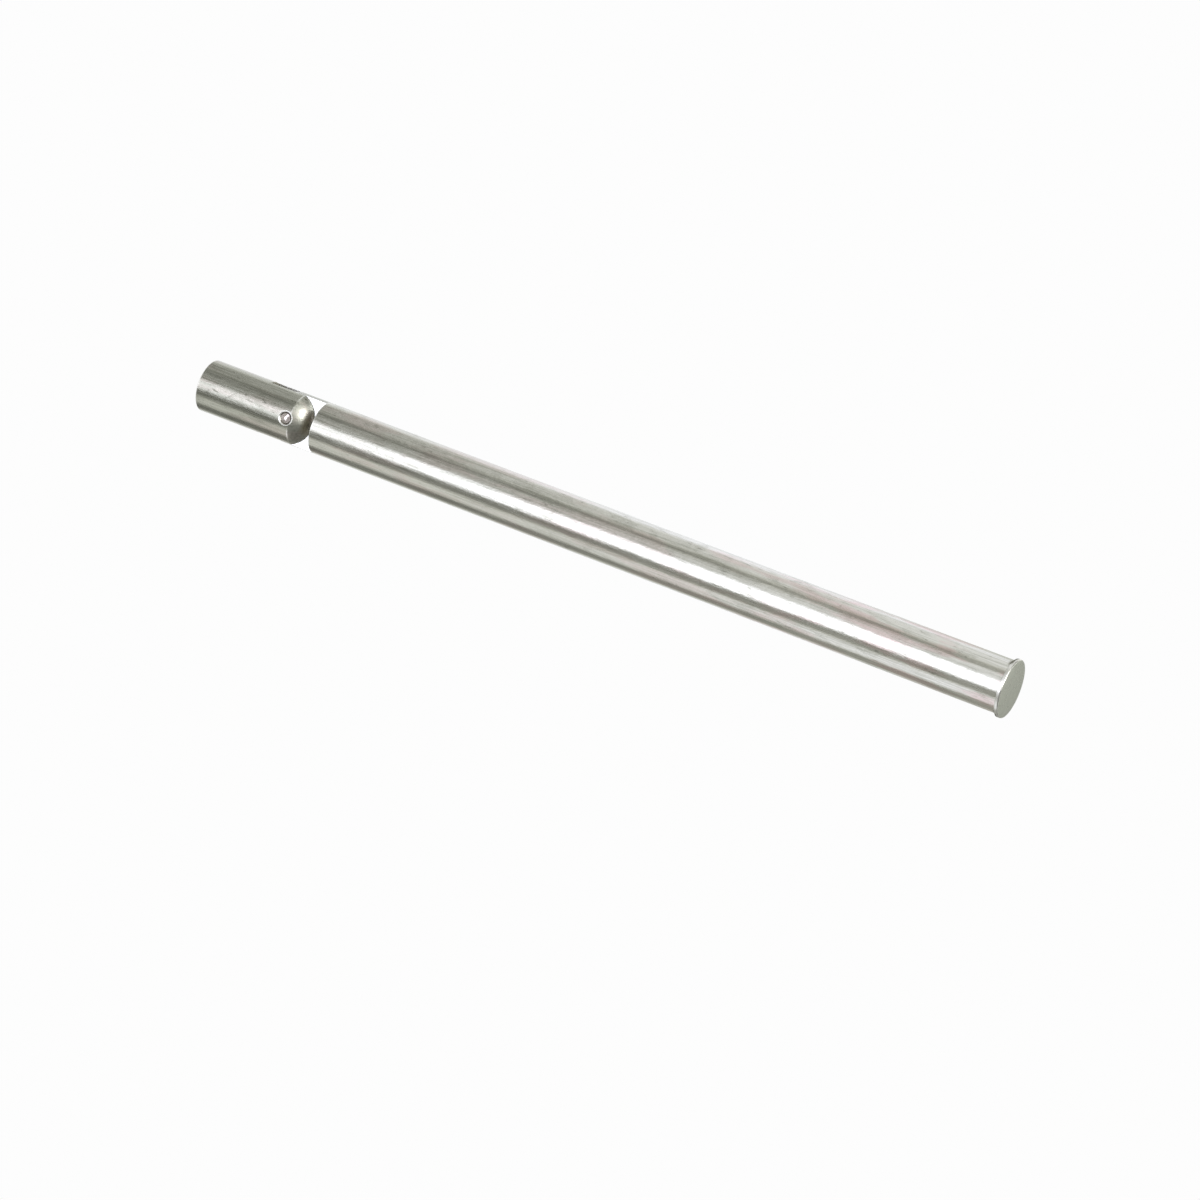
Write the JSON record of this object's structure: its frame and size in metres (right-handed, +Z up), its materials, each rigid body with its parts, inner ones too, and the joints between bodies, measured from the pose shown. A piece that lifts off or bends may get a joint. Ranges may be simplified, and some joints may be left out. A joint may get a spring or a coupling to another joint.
{
  "type": "drop-nose pin",
  "caption": "Headed steel locking pin with a short hinged nose that lines up to pass through a hole, then drops crosswise to keep the pin in.",
  "frame": {"origin": "centre of the head's underside, where the grip begins, on the bar's axis", "axes": "+X along the bar and out of the head, so the bar and nose lie along -X; Y along the cross rivet; +Z up"},
  "size_m": [0.202, 0.0132, 0.0132],
  "materials": {
    "drawn_bar": "bright drawn stainless with fine lengthwise streaks",
    "faced_disc": "fine ground face, bright rim",
    "nose_steel": "bright drawn stainless with small scratches, polished dome",
    "rivet_steel": "bright, lightly hammered ends"
  },
  "bodies": {
    "bar": {"shank": "drawn_bar", "head": "faced_disc"},
    "drop_nose": {"nose": "nose_steel", "pivot_rivet": "rivet_steel"}
  },
  "joints": [
    {"name": "nose_pivot", "type": "hinge", "parent": "bar", "child": "drop_nose", "pos_m": [-0.1777, 0, 0], "axis": [0, -1, 0], "range_deg": [-95, 95]}
  ]
}
